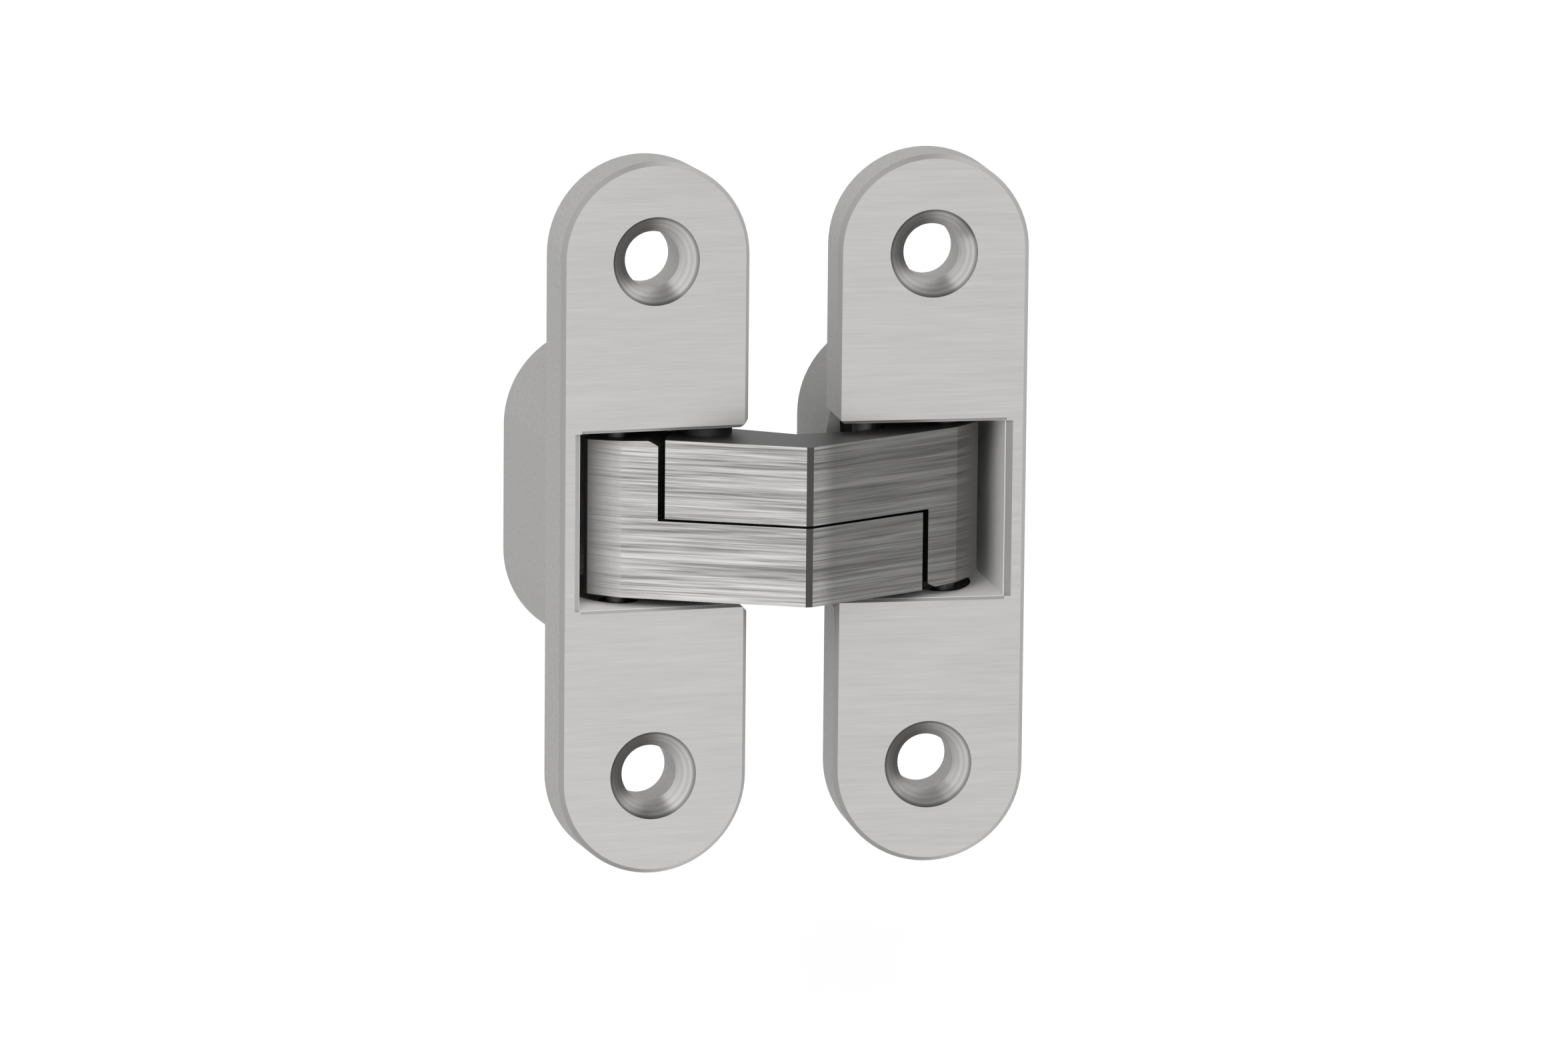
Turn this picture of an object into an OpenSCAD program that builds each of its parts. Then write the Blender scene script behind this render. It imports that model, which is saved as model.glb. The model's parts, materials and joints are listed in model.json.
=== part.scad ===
// Concealed door hinge: two cast leaves joined by two crossing arms.
// X runs across the left leaf, Y into the door, Z up along the hinge pins.
// The origin lies midway between the left leaf's screw holes, in the plane of its plate's back,
// which seats in the mortise. The modules measure depth from the face, and seat() moves it back.

/* [Leaf] */
// Height of a leaf
leaf_h = 81.7; // [78:0.1:90]
// Width of a leaf and of the mortise it fills
leaf_w = 22; // [22:0.5:24]
// Thickness of the face plate
plate_t = 6.5; // [6:0.25:7.5]
// Height of the deep body behind the plate
body_h = 36.5; // [34:0.5:40]
// Depth of the body, measured from the face
body_d = 25.5; // [25.5:0.25:28]
// Bevel round the front edge of the plate
face_bevel = 0.5; // [0.2:0.1:0.8]
// Bevel round the rear edge of the body
rear_bevel = 0.8; // [0.4:0.1:1.2]

/* [Pocket] */
// Height of the pocket that the arms fold into
pocket_h = 20.3; // [19.9:0.1:22]
// Side wall at the outer edge of the leaf
outer_wall = 2.4; // [1.6:0.1:2.5]
// Side wall at the inner edge of the leaf
inner_wall = 1.6; // [1.2:0.1:2]
// Floor behind the pocket
floor_t = 1.3; // [1:0.1:1.4]
// Bevel along the outer edge of the pocket mouth
mouth_bevel = 0.75; // [0.3:0.05:1.2]
// Bevel along the top and bottom edges of the pocket mouth
lip_bevel = 0.35; // [0.1:0.05:0.6]
// Corner cut off the plate above and below the pocket, at its inner edge
corner_cut = 0.9; // [0.3:0.1:1.5]
// Radius in the two rear corners of the pocket
pocket_r = 1.5; // [0.5:0.1:2]

/* [Screw holes] */
// Distance between the two screw holes of a leaf
screw_span = 59; // [56:0.5:62]
// Width of the countersink at the face
sink_d = 10.1; // [9:0.1:11]
// Diameter of the hole for the wood screw
screw_d = 6.4; // [5:0.1:7]

/* [Linkage] */
// Distance of a pivot pin from the outer edge of its leaf
pivot_x = 18; // [17.8:0.1:18.4]
// Depth of a pivot pin behind the face
pivot_y = 3.8; // [3.6:0.1:4]
// Distance from the pivot pin to the centre pin
link_r = 12.2; // [12:0.05:12.3]
// Gap between the two faces when the hinge is shut
shut_gap = 4; // [4:0.1:4.4]
// Opening angle at which the hinge is drawn
open_a = 173.56; // [150:0.02:180]
// Turn of an arm in the leaf that it is pinned to, over the whole swing
pin_swing = 112.1; // [111:0.1:113]
// Slope of an arm's front face against the leaf's face, as drawn
arm_slope = 30; // [29:0.5:31]

/* [Arms] */
// Height of both arms together
arm_h = 18.3; // [17.5:0.1:18.6]
// Half the width of an arm at its knuckle and at its far end
arm_r = 3.8; // [3.6:0.05:3.8]
// Radius of the eye round the pivot pin
eye_r = 3.2; // [3:0.05:3.2]
// Distance from the centre pin to the slide pin
slide_r = 21.4; // [21:0.1:21.6]
// Radius about the centre pin of the pinned end of an arm
end_r = 15.4; // [15.4:0.05:15.5]
// Gap between an arm's pinned end and the other arm's shoulder
shoulder_gap = 0.8; // [0.5:0.1:0.9]
// Radius of the rounding on the free corner of the shoulder
shoulder_round = 4; // [2:0.5:6]
// Depth of that rounding at the shoulder
shoulder_drop = 0.75; // [0.4:0.05:1.2]
// Depth of the far end's free side below the top of the arm, at the shoulder
free_drop = 0.15; // [0.05:0.05:0.3]
// Fall of that side towards the tip
free_slope = 3; // [1:0.5:4]
// Distance from the centre pin at which the front of the far end bends back
tip_from = 20; // [19:0.25:21]
// Angle of that bend
tip_bend = 17; // [10:1:20]
// Flat along the front edge of the knuckle
knuckle_flat = 0.8; // [0.3:0.1:1]
// Metal left over the ends of the centre pin
knuckle_skin = 1.2; // [0.8:0.1:2]
// Gap between the two arms, filled by the washer
arm_gap = 0.3; // [0.2:0.05:0.4]
// Back of the neck that passes the pivot pin, behind the arm's middle
neck_back = 1.1; // [0.6:0.1:1.2]
// Length of the neck beyond the pivot pin that it passes, at each end
neck_run = 1.25; // [1:0.05:1.4]

/* [Pins] */
// Diameter of the pivot pins
pivot_pin_d = 3; // [2.6:0.1:3]
// Diameter of the centre pin
centre_pin_d = 3.6; // [3:0.1:4]
// Diameter of the slide pins
slide_pin_d = 2.6; // [2:0.1:3]
// Wall of the polymer bushes
bush_wall = 0.7; // [0.5:0.1:0.8]
// Diameter of the glide rings on the slide pins
glide_d = 4.2; // [3.8:0.1:4.6]
// Height of a glide ring
glide_h = 1.8; // [1.5:0.1:2]
// Outer diameter of the washers
washer_d = 6; // [5.4:0.1:6.4]
// Depth of a pivot bore above and below the pocket
pivot_seat = 4.2; // [3:0.1:5]

/* [Clearances] */
// Running clearance round a pin, on the radius
run_clear = 0.06; // [0.04:0.01:0.1]
// Running clearance at the ends of washers, glides and pins
end_clear = 0.08; // [0.05:0.01:0.1]
// Clearance of a glide in its track, each side
track_clear = 0.2; // [0.15:0.05:0.3]
// Clearance of the neck round the pivot pin
neck_clear = 0.45; // [0.3:0.05:0.45]

/* [Hidden] */
$fn = 96;

eps = 0.01;
half_w = leaf_w / 2;
screw_z = screw_span / 2;
pocket_z = pocket_h / 2;
pocket_d = body_d - floor_t;
arm_z = arm_h / 2;
sink_depth = (sink_d - screw_d) / 2;

// The pivot pin of the left leaf, and the centre pin's bearing from it when shut
pivot = [pivot_x - half_w, pivot_y];
shut_bearing = asin((pivot_y + shut_gap / 2) / link_r) - 180;
// Turn of the other arm in this leaf, over the whole swing
slide_swing = 180 - pin_swing;
// How far the hinge is shut as drawn: 0 is wide open, 1 is shut
drawn = 1 - open_a / 180;
// The knuckle folds the two front faces of an arm by this angle
fold_a = 2 * (arm_slope - 90 * drawn);
// Direction of the plane that mirrors one leaf onto the other, as drawn
mirror_a = 90 * (1 - drawn);
// Direction of the sliding arm, as drawn
slide_a = 180 - arm_slope;

// Places in the left leaf for a hinge that is shut by s, from 0 to 1
function dir(a) = [cos(a), sin(a)];
function centre_at(s) = pivot + link_r * dir(shut_bearing + pin_swing * (1 - s));
function slide_at(s) = centre_at(s) + slide_r * dir(slide_a - slide_swing * (s - drawn));
centre = centre_at(drawn);
slide = slide_at(drawn);

// Bearings in an arm's own frame, where 0 points at its far end: the pinned end's
// front face, the eye on its own pivot pin, and the other leaf's pivot pin that it passes
pin_bearing = 180 + shut_bearing + pin_swing * (1 - drawn);
far_a = fold_a - 180;
eye_a = 2 * mirror_a - pin_bearing - slide_a;
pass_first = pin_bearing - slide_a + (pin_swing - slide_swing) * drawn;
pass_last = pass_first - (pin_swing - slide_swing);
pass_r = pivot_pin_d / 2 + neck_clear;

// Track for the glides: first and last place of the slide pin, with a little to spare
track_n = 24;
track_end_n = 10;
track_step = 0.005;
track_from = -0.01;
track_to = 1.01;
track_half = glide_d / 2 + track_clear;
track_z = pocket_z + glide_h + 2 * end_clear;

// Holes that take the polymer bushes
pivot_bush_d = pivot_pin_d + 2 * (run_clear + bush_wall);
centre_bush_d = centre_pin_d + 2 * (run_clear + bush_wall);

// Flat outline in the X, Y plane drawn up between two heights
module raise(from, to) {
    translate([0, 0, from]) linear_extrude(to - from) children();
}

// Stadium of a given height, with a bevel at one end of its depth
module beveled_stadium(h, from, to, front, rear) {
    mid = (h - leaf_w) / 2;
    for (z = [-mid, mid]) translate([0, 0, z]) rotate([-90, 0, 0]) rotate_extrude()
        polygon([[0, from], [half_w - front, from], [half_w, from + front],
                 [half_w, to - rear], [half_w - rear, to], [0, to]]);
    raise(-mid, mid)
        polygon([[front - half_w, from], [half_w - front, from], [half_w, from + front],
                 [half_w, to - rear], [half_w - rear, to], [rear - half_w, to],
                 [-half_w, to - rear], [-half_w, from + front]]);
}

// Plan of the pocket: open at the face, round in its two rear corners
module pocket_plan() {
    left = outer_wall - half_w;
    right = half_w - inner_wall;
    deep = pocket_d - pocket_r;
    polygon([[left, -1], [right, -1], [right, deep], [left, deep]]);
    polygon([[left + pocket_r, deep - eps], [right - pocket_r, deep - eps],
             [right - pocket_r, pocket_d], [left + pocket_r, pocket_d]]);
    for (x = [left + pocket_r, right - pocket_r]) translate([x, deep]) circle(r = pocket_r);
}

// The part of the mouth that also opens through the inner edge of the plate
module side_mouth_plan() {
    polygon([[0, -1], [half_w + 1, -1], [half_w + 1, plate_t], [0, plate_t]]);
}

// Bevel along the outer edge of the mouth
module mouth_bevel_plan() {
    x = outer_wall - half_w;
    polygon([[x - mouth_bevel - 1, -1], [x + 1, -1], [x + 1, mouth_bevel], [x, mouth_bevel]]);
}

// Bevel along the top edge of the mouth, drawn in the Y, Z plane
module lip_bevel_plan() {
    polygon([[-1, -1], [lip_bevel, -1], [lip_bevel, 0], [0, lip_bevel], [-1, lip_bevel]]);
}

// The cuts along the mouth's top edge: the bevel, and the corner at the inner edge of the plate
module lip_cuts() {
    from = outer_wall - half_w;
    translate([from, 0, pocket_z]) rotate([90, 0, 90]) linear_extrude(leaf_w) lip_bevel_plan();
    translate([half_w, plate_t, pocket_z]) rotate([90, 0, 0]) linear_extrude(plate_t + 1)
        polygon([[1, -1], [-corner_cut, -1], [-corner_cut, 0], [0, corner_cut], [1, corner_cut]]);
}

// Countersunk hole for a wood screw
module screw_hole() {
    rotate([-90, 0, 0]) {
        translate([0, 0, -1]) cylinder(d = screw_d, h = plate_t + 2);
        translate([0, 0, -eps]) cylinder(d1 = sink_d + 2 * eps, d2 = screw_d, h = sink_depth + eps);
    }
}

// Edge of the glide track: a point beside the slide pin's path, a side of the track between
// two places of the pin, and its round end
function track_a(s) = let (d = slide_at(s + track_step) - slide_at(s - track_step)) atan2(d[1], d[0]);
function beside(s, turn) = slide_at(s) + track_half * dir(track_a(s) + turn);
function track_side(from, to, turn) =
    [for (i = [0:track_n]) beside(from + (to - from) * i / track_n, turn)];
function track_end(s, turn) = [for (i = [1:track_end_n - 1]) beside(s, turn - 180 * i / track_end_n)];

// Plan of the glide track
module track_plan() {
    polygon(concat(track_side(track_from, track_to, 90), track_end(track_to, 90),
                   track_side(track_to, track_from, -90), track_end(track_from, -90)));
}

// One leaf casting, at the left leaf's place
module leaf() {
    difference() {
        union() {
            beveled_stadium(leaf_h, 0, plate_t, face_bevel, 0);
            beveled_stadium(body_h, plate_t / 2, body_d, 0, rear_bevel);
        }
        raise(-pocket_z, pocket_z) {
            pocket_plan();
            side_mouth_plan();
            mouth_bevel_plan();
        }
        lip_cuts();
        mirror([0, 0, 1]) lip_cuts();
        for (z = [-screw_z, screw_z]) translate([0, 0, z]) screw_hole();
        translate([pivot[0], pivot[1], -pocket_z - pivot_seat])
            cylinder(d = pivot_pin_d, h = pocket_h + 2 * pivot_seat);
        raise(pocket_z - eps, track_z) track_plan();
        raise(-track_z, eps - pocket_z) track_plan();
    }
}

// Turn a piece of the left side over to its place on the right side
module turn_over() {
    translate([centre[0], centre[1], 0]) rotate([0, 0, mirror_a]) rotate([180, 0, 0])
        rotate([0, 0, -mirror_a]) translate([-centre[0], -centre[1], 0]) children();
}

// Bar from the knuckle to the far end, thinned where it passes the pivot pin
module slide_bar_plan() {
    tip = -arm_r * tan(fold_a / 2);
    neck_end = link_r * cos(pass_first) + neck_run;
    neck_start = link_r - pass_r - neck_run;
    difference() {
        union() {
            polygon([[tip, arm_r], [slide_r, arm_r], [slide_r, -arm_r], [neck_end, -arm_r],
                     [neck_end, -neck_back], [neck_start, -neck_back],
                     [centre_bush_d / 2, -arm_r], [0, -arm_r]]);
            translate([slide_r, 0]) circle(r = arm_r);
        }
        translate([tip_from, arm_r]) rotate(-tip_bend) square(2 * arm_r);
        rotate(pass_first) translate([link_r, 0]) circle(r = pass_r);
        intersection() {
            difference() {
                circle(r = link_r + pass_r);
                circle(r = link_r - pass_r);
            }
            polygon([[0, 0], 3 * link_r * dir(pass_first), 3 * link_r * dir(pass_last)]);
        }
    }
}

// Pinned end: its front face, its end about the centre pin and its eye
module eye_bar_plan() {
    tip = -arm_r * tan(fold_a / 2);
    a = eye_a - far_a;
    back = dir(a + 90);
    rotate(far_a) {
        intersection() {
            circle(r = end_r);
            polygon([[tip, -arm_r], [end_r + 1, -arm_r], (end_r + 1) * dir(a), link_r * dir(a),
                     link_r * dir(a) + eye_r * back, arm_r * back]);
        }
        translate(link_r * dir(a)) circle(r = eye_r);
    }
}

// Cut that leaves a narrow flat along the front edge of the knuckle
module knuckle_cut_plan() {
    a = 90 + fold_a / 2;
    reach = arm_r / cos(fold_a / 2) - knuckle_flat / 2 * tan(fold_a / 2);
    rotate(a) translate([reach, -arm_r]) square([arm_r, 2 * arm_r]);
}

// Cut that frees the upper half of the slide bar for the other arm's pinned end, rounds the
// corner there and lets the far end's free side fall towards the tip
module shoulder_cut() {
    r = end_r + shoulder_gap;
    level = shoulder_round - shoulder_drop;
    run = sqrt(pow(shoulder_round, 2) - pow(level, 2));
    raise(-arm_gap / 2, arm_z + 1) circle(r = r);
    rotate_extrude() difference() {
        translate([r - 1, arm_z - shoulder_drop]) square([run + 1, shoulder_drop + 1]);
        translate([r + run, arm_z - shoulder_round]) circle(r = shoulder_round);
    }
    translate([r, -2 * arm_r, arm_z - free_drop]) rotate([0, free_slope, 0])
        translate([-1, 0, 0]) cube([slide_r, 4 * arm_r, arm_z]);
}

// One arm casting, with its knuckle on the origin and its far end along X
module arm(pin_bore) {
    difference() {
        union() {
            raise(-arm_z, -arm_gap / 2) difference() {
                union() {
                    circle(r = arm_r);
                    slide_bar_plan();
                    eye_bar_plan();
                }
                knuckle_cut_plan();
            }
            difference() {
                raise(-arm_gap, arm_z) intersection() {
                    slide_bar_plan();
                    translate([end_r, -2 * arm_r]) square([slide_r, 4 * arm_r]);
                }
                shoulder_cut();
            }
        }
        translate([0, 0, knuckle_skin - arm_z]) cylinder(d = pin_bore, h = arm_h);
        translate([link_r * cos(eye_a), link_r * sin(eye_a), -arm_z - 1])
            cylinder(d = pivot_bush_d, h = arm_h);
        translate([slide_r, 0, -arm_z - 1]) cylinder(d = slide_pin_d, h = arm_h + 2);
    }
}

// Put a piece drawn in an arm's own frame at the lower arm's place
module on_lower_arm() {
    translate([centre[0], centre[1], 0]) rotate([0, 0, slide_a]) children();
}

// Bring the back of the left leaf's plate to the plane Y = 0
module seat() { translate([0, -plate_t, 0]) children(); }

// Plain round pin between two heights
module pin(d, from, to) {
    translate([0, 0, from]) cylinder(d = d, h = to - from);
}

// Ring between two heights
module ring(outer, inner, from, to) {
    difference() {
        pin(outer, from, to);
        pin(inner, from - 1, to + 1);
    }
}

module at_centre() { translate([centre[0], centre[1], 0]) children(); }
module at_left_pivot() { translate([pivot[0], pivot[1], 0]) children(); }
module at_left_slide() { translate([slide[0], slide[1], 0]) children(); }
module at_right_pivot() { turn_over() at_left_pivot() children(); }
module at_right_slide() { turn_over() at_left_slide() children(); }

// Pressed into the leaf above and below the pocket
module pivot_pin() { pin(pivot_pin_d, -pocket_z - pivot_seat, pocket_z + pivot_seat); }

// Pressed into the eye of the arm
module pivot_bush() { ring(pivot_bush_d, pivot_pin_d + 2 * run_clear, arm_gap / 2, arm_z); }

// Fills the space between the eye and the wall of the pocket
module pivot_washer() {
    ring(washer_d, pivot_pin_d + 2 * run_clear, arm_z, pocket_z - end_clear);
}

// Pressed into the far end of the arm, with its ends in the two tracks
module slide_pin() { pin(slide_pin_d, end_clear - track_z, track_z - end_clear); }

// Pressed onto one end of the slide pin
module glide(side) {
    middle = side * (pocket_z + end_clear + glide_h / 2);
    ring(glide_d, slide_pin_d, middle - glide_h / 2, middle + glide_h / 2);
}

module left_leaf() { color("#c4c4c2") seat() leaf(); }
module right_leaf() { color("#c4c4c2") seat() turn_over() leaf(); }

module lower_arm() { color("#b0b0ae") seat() on_lower_arm() arm(centre_pin_d); }
module upper_arm() { color("#b0b0ae") seat() turn_over() on_lower_arm() arm(centre_bush_d); }

module centre_pin() {
    color("#8c8c8c") seat() at_centre()
        pin(centre_pin_d, knuckle_skin - arm_z, arm_z - knuckle_skin - end_clear);
}
module centre_bush() {
    color("#55585c") seat() at_centre()
        ring(centre_bush_d, centre_pin_d + 2 * run_clear, arm_gap / 2, arm_z - knuckle_skin);
}
module centre_washer() {
    color("#55585c") seat() at_centre()
        ring(washer_d, centre_pin_d, -arm_gap / 2, arm_gap / 2 - end_clear);
}

module left_pivot_pin() { color("#8c8c8c") seat() at_left_pivot() pivot_pin(); }
module left_pivot_bush() { color("#55585c") seat() at_left_pivot() pivot_bush(); }
module left_pivot_washer() { color("#55585c") seat() at_left_pivot() pivot_washer(); }
module right_pivot_pin() { color("#8c8c8c") seat() at_right_pivot() pivot_pin(); }
module right_pivot_bush() { color("#55585c") seat() at_right_pivot() pivot_bush(); }
module right_pivot_washer() { color("#55585c") seat() at_right_pivot() pivot_washer(); }

module left_slide_pin() { color("#8c8c8c") seat() at_left_slide() slide_pin(); }
module left_top_glide() { color("#55585c") seat() at_left_slide() glide(1); }
module left_bottom_glide() { color("#55585c") seat() at_left_slide() glide(-1); }
module right_slide_pin() { color("#8c8c8c") seat() at_right_slide() slide_pin(); }
module right_top_glide() { color("#55585c") seat() at_right_slide() glide(-1); }
module right_bottom_glide() { color("#55585c") seat() at_right_slide() glide(1); }

left_leaf();
right_leaf();
upper_arm();
lower_arm();
centre_pin();
centre_bush();
centre_washer();
left_pivot_pin();
left_pivot_bush();
left_pivot_washer();
right_pivot_pin();
right_pivot_bush();
right_pivot_washer();
left_slide_pin();
left_top_glide();
left_bottom_glide();
right_slide_pin();
right_top_glide();
right_bottom_glide();
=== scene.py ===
import json
import math

import bpy
from mathutils import Matrix, Vector

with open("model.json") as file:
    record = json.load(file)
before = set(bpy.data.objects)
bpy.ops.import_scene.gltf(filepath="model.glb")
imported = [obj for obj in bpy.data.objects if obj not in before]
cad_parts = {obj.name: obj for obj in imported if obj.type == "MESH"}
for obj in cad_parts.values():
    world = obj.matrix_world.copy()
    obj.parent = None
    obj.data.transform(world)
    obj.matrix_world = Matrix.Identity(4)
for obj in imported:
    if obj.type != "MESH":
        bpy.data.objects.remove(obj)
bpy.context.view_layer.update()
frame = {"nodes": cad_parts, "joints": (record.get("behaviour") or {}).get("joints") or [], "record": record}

MM = 0.001
MOUNTS = {mount["name"]: mount for mount in frame["record"]["mounts"]}
JOINTS = {joint["name"]: joint for joint in frame["joints"]}

# Each leaf's face: the way it looks and its middle. The screws stand as far above the middle as below it.
LEFT_FACE = MOUNTS["left_face"]["axis"]
RIGHT_FACE = MOUNTS["right_face"]["axis"]
LEFT_MIDDLE = (*MOUNTS["left_face"]["pos_m"][:2], 0)
RIGHT_MIDDLE = (*MOUNTS["right_face"]["pos_m"][:2], 0)
SCREW_Z = MOUNTS["left_screws"]["dims"]["spacing_y_mm"] / 2 * MM

# Radius of a countersink at the face, the shaded band inside it, and the spacing of its cutting rings
SINK_R = 5.05 * MM
RIM_FROM, RIM_TO = SINK_R - 0.5 * MM, SINK_R - 0.1 * MM
RING = 0.3 * MM

# How far behind the face the plate ends and the body starts
BODY_FROM, BODY_TO = 6.4 * MM, 6.7 * MM

# Just past the pocket's walls, from the middle of the face
POCKET_X, POCKET_Z = 8.68 * MM, 10.2 * MM

# The arms: where the knuckle is, how far out the belt marks give way to painted shade at the far ends, and
# how soon the painted shade on its right side starts
KNUCKLE_X = JOINTS["knuckle"]["pos_m"][0]
END_SHADE_FROM, END_SHADE_TO = 20.0 * MM, 22.6 * MM
APEX_FROM, APEX_TO = 0.8 * MM, 3.2 * MM

# Directions: right, left and forwards, the upper left of a countersink, which takes painted shade, and two
# faces of the arms
RIGHTWARDS = (1, 0, 0)
LEFTWARDS = (-1, 0, 0)
FORWARDS = (0, -1, 0)
SHADED_SIDE = (0.88, 0, -0.47)
LEFT_FACET = (-0.731, -0.682, 0)
RIGHT_SIDE = (0.407, -0.914, 0)

# Where in a noise its dark and its pale tone lie
DARK_AT, PALE_AT = 0.3, 0.7
STREAK_AT = (0.38, 0.5, 0.62)


def linear(hex_colour):
    """An sRGB hex colour as the linear RGBA that the shaders take."""
    parts = [int(hex_colour[i:i + 2], 16) / 255 for i in (1, 3, 5)]
    return [c / 12.92 if c <= 0.04045 else ((c + 0.055) / 1.055) ** 2.4 for c in parts] + [1.0]


def add(tree, kind, inputs=None, output=0, stops=(), **settings):
    """Adds a node with its settings, and gives back one of its outputs, by number or name. Inputs go by
    number: a socket is linked, a number or hex colour is set. Stops are a ramp's places and hex colours."""
    node = tree.nodes.new(kind)
    for name, setting in settings.items():
        setattr(node, name, setting)
    for number, given in (inputs or {}).items():
        if isinstance(given, bpy.types.NodeSocket):
            tree.links.new(given, node.inputs[number])
        else:
            node.inputs[number].default_value = linear(given) if isinstance(given, str) else given
    for number, (place, colour) in enumerate(stops):
        marks = node.color_ramp.elements
        mark = marks[number] if number < len(marks) else marks.new(place)
        mark.position = place
        mark.color = linear(colour)
    return node.outputs[output] if len(node.outputs) else node


def new_material(name):
    """An empty material and its tree."""
    material = bpy.data.materials.new(name)
    material.use_nodes = True
    material.node_tree.nodes.clear()
    return material, material.node_tree


def brush_lines(tree, spacing_mm, length_mm, detail):
    """Noise drawn out along the level brushing direction, from the line spacing and line length."""
    place = add(tree, "ShaderNodeTexCoord", output="Object")
    stretch = (1 / (length_mm * MM), 1 / (length_mm * MM), 1 / (spacing_mm * MM))
    drawn = add(tree, "ShaderNodeMapping", {0: place, 3: stretch})
    return add(tree, "ShaderNodeTexNoise", {0: drawn, 2: 1.0, 3: detail, 4: 0.55})


def cast_grain(tree, grain_mm):
    """Noise for the fine pitting of a casting."""
    place = add(tree, "ShaderNodeTexCoord", output="Object")
    return add(tree, "ShaderNodeTexNoise", {0: place, 2: 1 / (grain_mm * MM), 3: 3, 4: 0.6})


def reach_along(tree, offset, direction):
    """How far an offset goes in a direction."""
    return add(tree, "ShaderNodeVectorMath", {0: offset, 1: direction}, "Value", operation="DOT_PRODUCT")


def facing(tree, direction):
    """How far a surface faces a direction, from its own normal at rest."""
    return reach_along(tree, add(tree, "ShaderNodeTexCoord", output="Normal"), direction)


def from_middle(tree, face_normal, middle):
    """How far a point of a leaf lies from the middle of its face: across and along it, and behind it."""
    place = add(tree, "ShaderNodeTexCoord", output="Object")
    offset = add(tree, "ShaderNodeVectorMath", {0: place, 1: middle}, operation="SUBTRACT")
    sideways = reach_along(tree, offset, (-face_normal[1], face_normal[0], 0))
    upwards = add(tree, "ShaderNodeSeparateXYZ", {0: offset}, 2)
    across = add(tree, "ShaderNodeMath", {0: sideways}, operation="ABSOLUTE")
    along = add(tree, "ShaderNodeMath", {0: upwards}, operation="ABSOLUTE")
    return across, along, reach_along(tree, offset, (-face_normal[0], -face_normal[1], 0))


def metal(tree, colour, rough, bump_height, bump_mm, metallic=1.0):
    """Plated or bare metal: its colour and roughness, and a fine bump."""
    bump = add(tree, "ShaderNodeBump", {0: 1.0, 1: bump_mm * MM, 3: bump_height})
    shade = add(tree, "ShaderNodeBsdfPrincipled", {0: colour, 1: metallic, 2: rough, 5: bump})
    add(tree, "ShaderNodeOutputMaterial", {0: shade})
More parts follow.
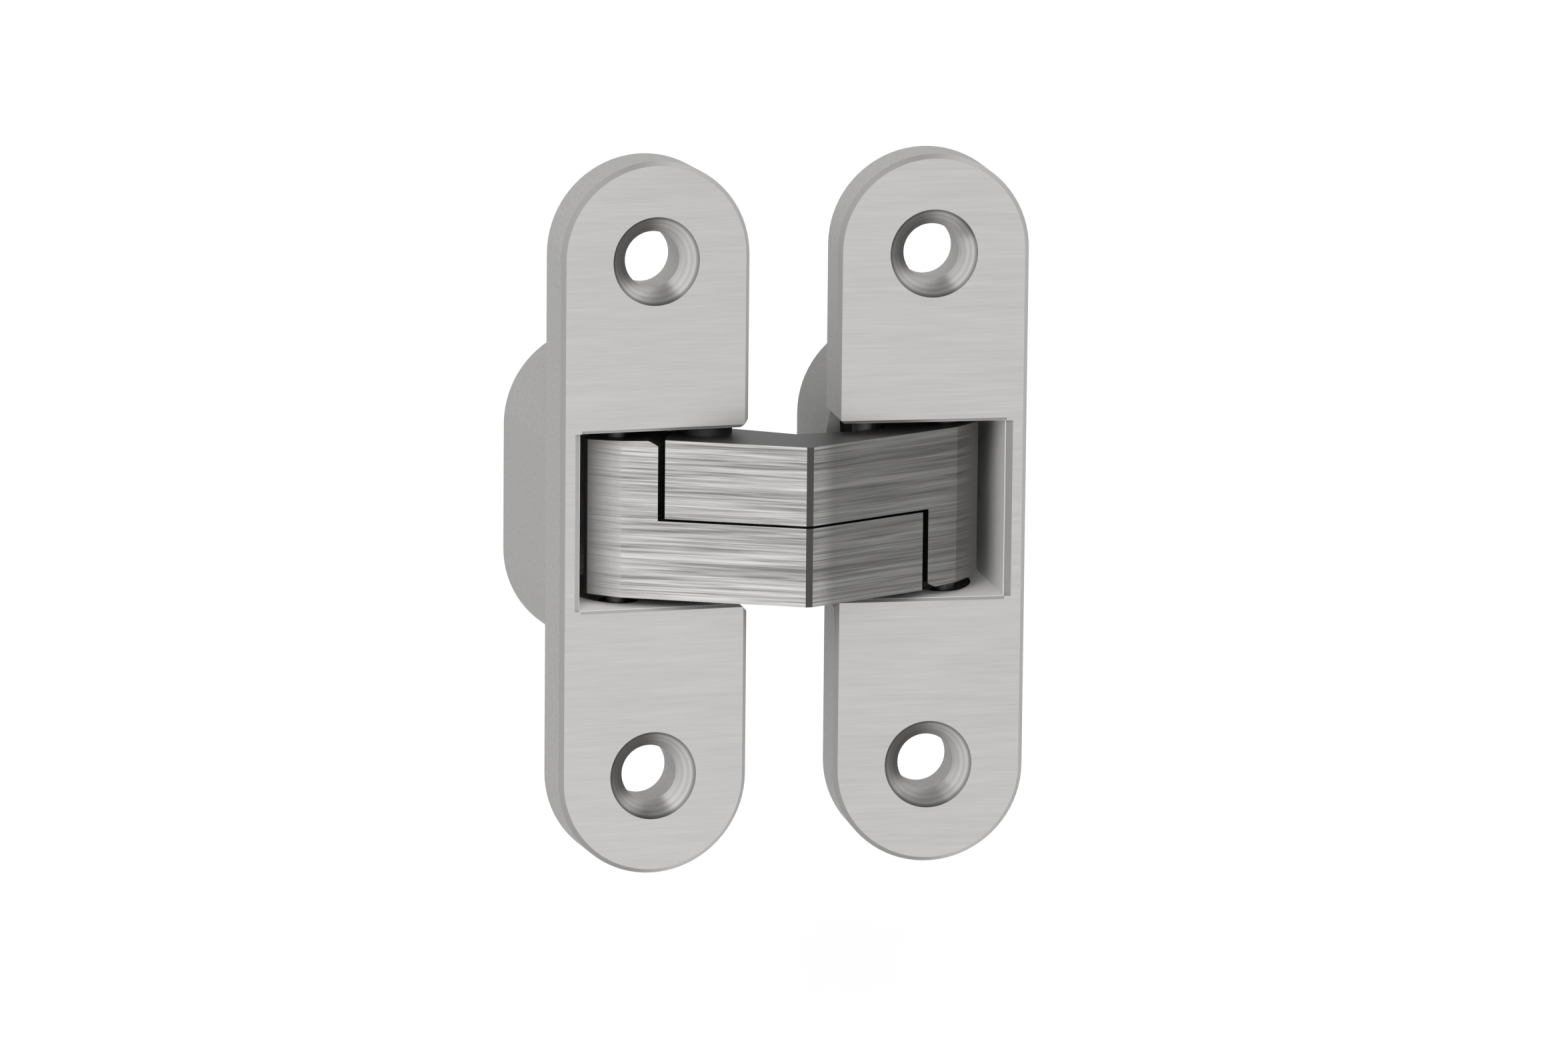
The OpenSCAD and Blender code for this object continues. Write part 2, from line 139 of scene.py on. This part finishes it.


# Satin nickel plate on a zinc die casting. The face is brushed across, so it shows fine level lines and a
# soft sheen. The countersinks are turned, with fine rings. The sides, the body and the pocket are matt,
# with a fine cast grain. The tones follow the photograph, and some are painted light and shade, set by
# place on the part: painted shade at a countersink's rim and on its upper left, a near-white pocket as
# painted light against the shade inside it, bevels painted paler where they face right and darker where
# they face left, and painted shade on the right body's inner side. The left body's inner side, which the
# photograph doesn't show, is given the same painted shade.
def satin_nickel(name, face_normal, middle, inner_side, face_tones):
    material, tree = new_material(name)
    fine = brush_lines(tree, spacing_mm=0.2, length_mm=6, detail=3)
    broad = brush_lines(tree, spacing_mm=0.9, length_mm=14, detail=2)
    brushing = add(tree, "ShaderNodeMix", {0: 0.4, 2: fine, 3: broad})
    grain = cast_grain(tree, grain_mm=0.5)

    # Distance from the axis of the nearer screw hole
    across, along, behind = from_middle(tree, face_normal, middle)
    past_screw = add(tree, "ShaderNodeMath", {0: along, 1: SCREW_Z}, operation="SUBTRACT")
    from_axis = add(tree, "ShaderNodeCombineXYZ", {0: across, 1: past_screw})
    from_hole = add(tree, "ShaderNodeVectorMath", {0: from_axis}, "Value", operation="LENGTH")
    ring_place = add(tree, "ShaderNodeMath", {0: from_hole, 1: 1 / RING}, operation="MULTIPLY")
    rings = add(tree, "ShaderNodeTexNoise", {1: ring_place, 2: 1.0, 3: 2}, noise_dimensions="1D")

    # How much a point belongs to each part of the leaf, from 0 to 1. How squarely it faces forwards tells
    # the flat face, at 1, from the bevels and cones, near 0.7, the walls, at 0, and the back, at -1.
    head_on = facing(tree, face_normal)
    share = {}
    for part, measure, low, high in (
            ("face", head_on, 0.95, 0.99),
            ("cone", head_on, 0.3, 0.5),
            ("not a wall", head_on, 0.5, 0.6),
            ("not flat", head_on, 0.9, 0.85),
            ("body", behind, BODY_FROM, BODY_TO),
            ("body's inner side", facing(tree, inner_side), 0.2, 0.8),
            ("rim", from_hole, RIM_FROM, RIM_TO),
            ("painted shade side", facing(tree, SHADED_SIDE), 0.1, 0.5),
            ("right side", facing(tree, RIGHTWARDS), -0.2, 0.2)):
        share[part] = add(tree, "ShaderNodeMapRange", {0: measure, 1: low, 2: high},
                          interpolation_type="SMOOTHSTEP")
    for part, operation, first, second in (
            ("in a hole", "LESS_THAN", from_hole, SINK_R),
            ("countersink", "MULTIPLY", "in a hole", "cone"),
            ("in the pocket's width", "LESS_THAN", across, POCKET_X),
            ("in the pocket's height", "LESS_THAN", along, POCKET_Z),
            ("in the pocket", "MULTIPLY", "in the pocket's width", "in the pocket's height"),
            ("not the back", "GREATER_THAN", head_on, -0.5),
            ("pocket", "MULTIPLY", "in the pocket", "not the back"),
            ("bevel", "MULTIPLY", "not a wall", "not flat"),
            # Painted shade on a countersink's upper left, at 0.6 of its share
            ("painted shade part", "MULTIPLY", "painted shade side", 0.6),
            # Painted shade at a countersink's rim, at 0.6 of its share
            ("painted rim shade", "MULTIPLY", "rim", 0.6),
            ("worked", "MAXIMUM", "face", "countersink")):
        share[part] = add(tree, "ShaderNodeMath", {0: share.get(first, first), 1: share.get(second, second)},
                          operation=operation)

    # Tones, and then one over the other, each by its share
    tone = {}
    for part, pattern, (dark, pale) in (
            ("brushed face", brushing, face_tones),
            ("plate's side", grain, ("#B2B1B0", "#C0BFBE")),
            ("body's outer side", grain, ("#AEADAC", "#BAB9B8")),
            # Painted shade: the body's inner side is darker than its outer side
            ("body's inner side", grain, ("#8E8D8C", "#9C9B9A")),
            ("cut rings", rings, ("#BEBDBC", "#CECDCC"))):
        tone[part] = add(tree, "ShaderNodeValToRGB", {0: pattern}, stops=[(DARK_AT, dark), (PALE_AT, pale)])
    for part, amount, under, over in (
            # The body: its inner side takes the painted shade
            ("body", "body's inner side", "body's outer side", "body's inner side"),
            ("cast", "body", "plate's side", "body"),
            # Painted shade on a countersink's upper left, over its cut rings
            ("with painted shade", "painted shade part", "cut rings", "#5A5958"),
            # Painted shade at a countersink's rim, over the rest of the countersink
            ("countersink", "painted rim shade", "with painted shade", "#4E4D4C"),
            # Painted light and shade: bevels are paler where they face right and darker where they face left
            ("bevel", "right side", "#A9A8A7", "#D6D5D4"),
            ("with bevels", "bevel", "cast", "bevel"),
            # Painted light: the pocket is near white against the shade inside it
            ("with pocket", "pocket", "with bevels", "#F4F3F2"),
            ("with countersinks", "countersink", "with pocket", "countersink"),
            ("with face", "face", "with countersinks", "brushed face")):
        tone[part] = add(tree, "ShaderNodeMix",
                         {0: share[amount], 6: tone.get(under, under), 7: tone.get(over, over)}, 2,
                         data_type="RGBA")

    face_rough = add(tree, "ShaderNodeMapRange", {0: share["face"], 3: 0.6, 4: 0.38})
    rough = add(tree, "ShaderNodeMix", {0: share["countersink"], 2: face_rough, 3: 0.28})
    cast_metallic = add(tree, "ShaderNodeMapRange", {0: share["pocket"], 3: 0.3, 4: 0.0})
    metallic = add(tree, "ShaderNodeMath", {0: share["worked"], 1: cast_metallic}, operation="MAXIMUM")
    height = add(tree, "ShaderNodeMix", {0: share["face"], 2: grain, 3: fine})
    metal(tree, tone["with face"], rough, height, bump_mm=0.004, metallic=metallic)
    return material


# The arms are plated too, then linished along their length with a coarse belt, which leaves light and dark
# streaks on the front faces. The tones follow the photograph, and are painted shade and light, set by
# place on the part: painted shade on the other faces, the flat on the knuckle among them, a painted
# highlight on the left end's facet, painted shade on the right side, and painted shade towards the far
# ends, where the streaks give way to a plain grey.
def linished_nickel(name):
    material, tree = new_material(name)
    fine = brush_lines(tree, spacing_mm=0.14, length_mm=9, detail=3)
    broad = brush_lines(tree, spacing_mm=0.5, length_mm=45, detail=2)
    brushing = add(tree, "ShaderNodeMix", {0: 0.5, 2: fine, 3: broad})

    # Distance from the knuckle, to the left or right
    place = add(tree, "ShaderNodeTexCoord", output="Object")
    sideways = add(tree, "ShaderNodeSeparateXYZ", {0: place})
    past_knuckle = add(tree, "ShaderNodeMath", {0: sideways, 1: KNUCKLE_X}, operation="SUBTRACT")
    reach = add(tree, "ShaderNodeMath", {0: past_knuckle}, operation="ABSOLUTE")
    sidelong = add(tree, "ShaderNodeMath", {0: facing(tree, RIGHTWARDS)}, operation="ABSOLUTE")

    # How much a point belongs to each part of the arm, from 0 to 1
    share = {"far end": add(tree, "ShaderNodeMapRange", {0: reach, 1: END_SHADE_FROM, 2: END_SHADE_TO})}
    for part, measure, low, high in (
            ("front", facing(tree, FORWARDS), 0.3, 0.4),
            ("not the flat", sidelong, 0.15, 0.25),
            ("left facet", facing(tree, LEFT_FACET), 0.965, 0.985),
            ("right side", facing(tree, RIGHT_SIDE), 0.8, 0.9),
            ("off the apex", reach, APEX_FROM, APEX_TO)):
        share[part] = add(tree, "ShaderNodeMapRange", {0: measure, 1: low, 2: high},
                          interpolation_type="SMOOTHSTEP")
    for part, operation, first, second in (
            ("linished", "MULTIPLY", "front", "not the flat"),
            ("right of the apex", "MULTIPLY", "right side", "off the apex"),
            # Painted shade on the right side past the apex, at 0.55 of its share
            ("painted shade part", "MULTIPLY", "right of the apex", 0.55),
            # Painted shade towards the far ends
            ("painted end shade", "POWER", "far end", 1.5)):
        share[part] = add(tree, "ShaderNodeMath", {0: share[first], 1: share.get(second, second)},
                          operation=operation)

    # Tones, and then one over the other, each by its share
    tone = {}
    # The paler set of streaks is a painted highlight, for the left end's facet
    for part, colours in (("streaks", ("#868584", "#B9B8B7", "#DEDDDC")),
                          ("streaks with painted highlight", ("#BEBDBC", "#EFEEED", "#FFFFFF"))):
        tone[part] = add(tree, "ShaderNodeValToRGB", {0: brushing}, stops=zip(STREAK_AT, colours))
    for part, amount, under, over in (
            # Painted highlight on the left end's facet
            ("with facet", "left facet", "streaks", "streaks with painted highlight"),
            # Painted shade on the right side
            ("with right side", "painted shade part", "with facet", "#6E6D6C"),
            # Painted shade at the far ends, where the streaks give way to a plain grey
            ("with far ends", "painted end shade", "with right side", "#8E8D8C"),
            # Painted shade: every face but the linished fronts, the flat on the knuckle among them, is dark
            ("whole arm", "linished", "#545352", "with far ends")):
        tone[part] = add(tree, "ShaderNodeMix",
                         {0: share[amount], 6: tone.get(under, under), 7: tone.get(over, over)}, 2,
                         data_type="RGBA")

    rough = add(tree, "ShaderNodeMapRange", {0: share["linished"], 3: 0.5, 4: 0.38})
    metal(tree, tone["whole arm"], rough, brushing, bump_mm=0.006)
    return material


# Steel pins, turned, with a dull grey surface.
def turned_steel(name):
    material, tree = new_material(name)
    grain = cast_grain(tree, grain_mm=0.3)
    colour = add(tree, "ShaderNodeValToRGB", {0: grain}, stops=[(DARK_AT, "#666667"), (PALE_AT, "#747475")])
    rough = add(tree, "ShaderNodeValToRGB", {0: grain}, stops=[(DARK_AT, "#B0B0B0"), (PALE_AT, "#C0C0C0")])
    metal(tree, colour, rough, grain, bump_mm=0.002)
    return material


# Black acetal, moulded, with a dull sheen.
def black_acetal(name):
    material, tree = new_material(name)
    grain = cast_grain(tree, grain_mm=0.4)
    colour = add(tree, "ShaderNodeValToRGB", {0: grain}, stops=[(DARK_AT, "#1A1B1D"), (PALE_AT, "#232426")])
    shade = add(tree, "ShaderNodeBsdfPrincipled", {0: colour, 2: 0.45})
    add(tree, "ShaderNodeOutputMaterial", {0: shade})
    return material


left_nickel = satin_nickel("satin nickel, left leaf", LEFT_FACE, LEFT_MIDDLE, RIGHTWARDS,
                           ("#C7C6C5", "#D4D3D2"))
right_nickel = satin_nickel("satin nickel, right leaf", RIGHT_FACE, RIGHT_MIDDLE, LEFTWARDS,
                            ("#C0BFBE", "#CDCCCB"))
arm_nickel = linished_nickel("linished nickel arm")
pin_steel = turned_steel("turned steel pin")
acetal = black_acetal("black acetal")

for name, node in frame["nodes"].items():
    if name == "left_leaf":
        finish = left_nickel
    elif name == "right_leaf":
        finish = right_nickel
    elif name.endswith("arm"):
        finish = arm_nickel
    elif name.endswith("_pin"):
        finish = pin_steel
    else:
        finish = acetal
    node.data.materials.clear()
    node.data.materials.append(finish)

# Camera: a long lens about 1.08 m away, at the photograph's azimuth and elevation
IMAGE_W, IMAGE_H = 2352, 1568
AIM = Vector((16.142, -6.789, 0)) * MM
CAMERA_AZ, CAMERA_EL, CAMERA_ROLL = math.radians(16.95), math.radians(10.65), math.radians(0.555)
CAMERA_FAR = 1.08
FOCAL_PX = 14311
CENTRE_PX = (1189.1, 771.35)
SENSOR_MM = 36

ahead = Vector((math.sin(CAMERA_AZ) * math.cos(CAMERA_EL), math.cos(CAMERA_AZ) * math.cos(CAMERA_EL),
                -math.sin(CAMERA_EL)))
level = Vector((math.cos(CAMERA_AZ), -math.sin(CAMERA_AZ), 0))
upward = level.cross(ahead)
right = math.cos(CAMERA_ROLL) * level + math.sin(CAMERA_ROLL) * upward
top = math.cos(CAMERA_ROLL) * upward - math.sin(CAMERA_ROLL) * level
turn = Matrix((right, top, -ahead)).transposed().to_4x4()
camera_data = bpy.data.cameras.new("camera")
camera = bpy.data.objects.new("camera", camera_data)
bpy.context.scene.collection.objects.link(camera)
bpy.context.scene.camera = camera
camera.matrix_world = Matrix.Translation(AIM - CAMERA_FAR * ahead) @ turn
camera_data.sensor_width = SENSOR_MM
camera_data.lens = FOCAL_PX / IMAGE_W * SENSOR_MM
camera_data.shift_x = (IMAGE_W / 2 - CENTRE_PX[0]) / IMAGE_W
camera_data.shift_y = (CENTRE_PX[1] - IMAGE_H / 2) / IMAGE_W
camera_data.clip_start, camera_data.clip_end = 0.01, 30


def seen_by(tree, *rays):
    """1 for the rays that are named, 0 for the rest."""
    amount = 0.0
    for ray in rays:
        this_ray = add(tree, "ShaderNodeLightPath", output=ray)
        amount = add(tree, "ShaderNodeMath", {0: amount, 1: this_ray}, operation="MAXIMUM")
    return amount


# The surroundings are white to the eye and in reflections, and light the hinge at 0.6 of that.
bpy.context.scene.view_settings.view_transform = "Standard"
world = bpy.data.worlds.new("studio")
bpy.context.scene.world = world
world.use_nodes = True
sky = world.node_tree
sky.nodes.clear()
plain = add(sky, "ShaderNodeBackground", {0: "#FFFFFF", 1: 0.6})
white = add(sky, "ShaderNodeBackground", {0: "#FFFFFF", 1: 1.0})
seen = seen_by(sky, "Is Camera Ray", "Is Glossy Ray", "Is Transmission Ray")
add(sky, "ShaderNodeOutputWorld", {0: add(sky, "ShaderNodeMixShader", {0: seen, 1: plain, 2: white})})


def stand(name, data, centre, outward):
    """Puts a thing in the scene, with its +Z turned the way that is given."""
    item = bpy.data.objects.new(name, data)
    bpy.context.scene.collection.objects.link(item)
    item.location = centre
    item.rotation_euler = outward.to_track_quat("Z", "Y").to_euler()
    return item


def panel(name, centre, aim, width, height):
    """A flat rectangle that faces a point."""
    mesh = bpy.data.meshes.new(name)
    x, y = width / 2, height / 2
    mesh.from_pydata([(-x, -y, 0), (x, -y, 0), (x, y, 0), (-x, y, 0)], [], [(0, 1, 2, 3)])
    return stand(name, mesh, centre, Vector(aim) - Vector(centre))


def lamp(name, centre, aim, width, height, watts):
    """A soft box that shines at a point. An area lamp shines along its -Z."""
    data = bpy.data.lights.new(name, "AREA")
    data.shape, data.size, data.size_y, data.energy = "RECTANGLE", width, height, watts
    return stand(name, data, centre, Vector(centre) - Vector(aim))


def flag(name, centre, aim, width, height, grey):
    """A sheet that glows at a grey and faces a point, seen only in reflections: a painted reflection of a
    grey card.
    """
    item = panel(name, centre, aim, width, height)
    material, tree = new_material(name)
    add(tree, "ShaderNodeOutputMaterial", {0: add(tree, "ShaderNodeEmission", {0: grey, 1: 1.0})})
    item.data.materials.append(material)
    item.visible_camera = False
    item.visible_diffuse = False
    item.visible_shadow = False


# The sheets show only in the metal's reflections. The dark one on the right is there for the right-hand
# faces of the arms and the left half of the countersinks, the grey one overhead for the countersinks'
# lower half, and the dark card under the hinge for their upper edge.
HINGE_MIDDLE = (0.017, -0.0065, 0)
flag("right flag", centre=(0.498, -0.144, 0), aim=HINGE_MIDDLE, width=1.1, height=0.9, grey="#1A1A1A")
flag("top flag", centre=(0.13, -0.08, 0.45), aim=HINGE_MIDDLE, width=0.6, height=0.6, grey="#909090")
flag("card below", centre=(0.072, 0.03, -0.07), aim=HINGE_MIDDLE, width=0.12, height=0.14, grey="#202020")
lamp("soft box", centre=(-0.35, -0.9, 0.55), aim=HINGE_MIDDLE, width=0.6, height=0.6, watts=4)

# Floor: matt, lifted to white for the eye, white in reflections too, and it keeps the hinge's shadow
FLOOR_Z = -0.075
FLOOR_SIZE = 8
floor_material, floor_tree = new_material("white floor")
matt = add(floor_tree, "ShaderNodeBsdfDiffuse", {0: "#E8E8E8"})
dark = add(floor_tree, "ShaderNodeEmission", {0: "#000000", 1: 0.0})
lift = add(floor_tree, "ShaderNodeEmission", {0: "#FFFFFF", 1: 0.5})
bright = add(floor_tree, "ShaderNodeEmission", {0: "#FFFFFF", 1: 1.0})
to_eye = seen_by(floor_tree, "Is Camera Ray")
mirrored = seen_by(floor_tree, "Is Glossy Ray", "Is Transmission Ray")
lifted = add(floor_tree, "ShaderNodeMixShader", {0: to_eye, 1: dark, 2: lift})
plain_floor = add(floor_tree, "ShaderNodeAddShader", {0: matt, 1: lifted})
floor_shade = add(floor_tree, "ShaderNodeMixShader", {0: mirrored, 1: plain_floor, 2: bright})
add(floor_tree, "ShaderNodeOutputMaterial", {0: floor_shade})
floor = panel("floor", centre=(0, 0, FLOOR_Z), aim=(0, 0, 1), width=FLOOR_SIZE, height=FLOOR_SIZE)
floor.data.materials.append(floor_material)
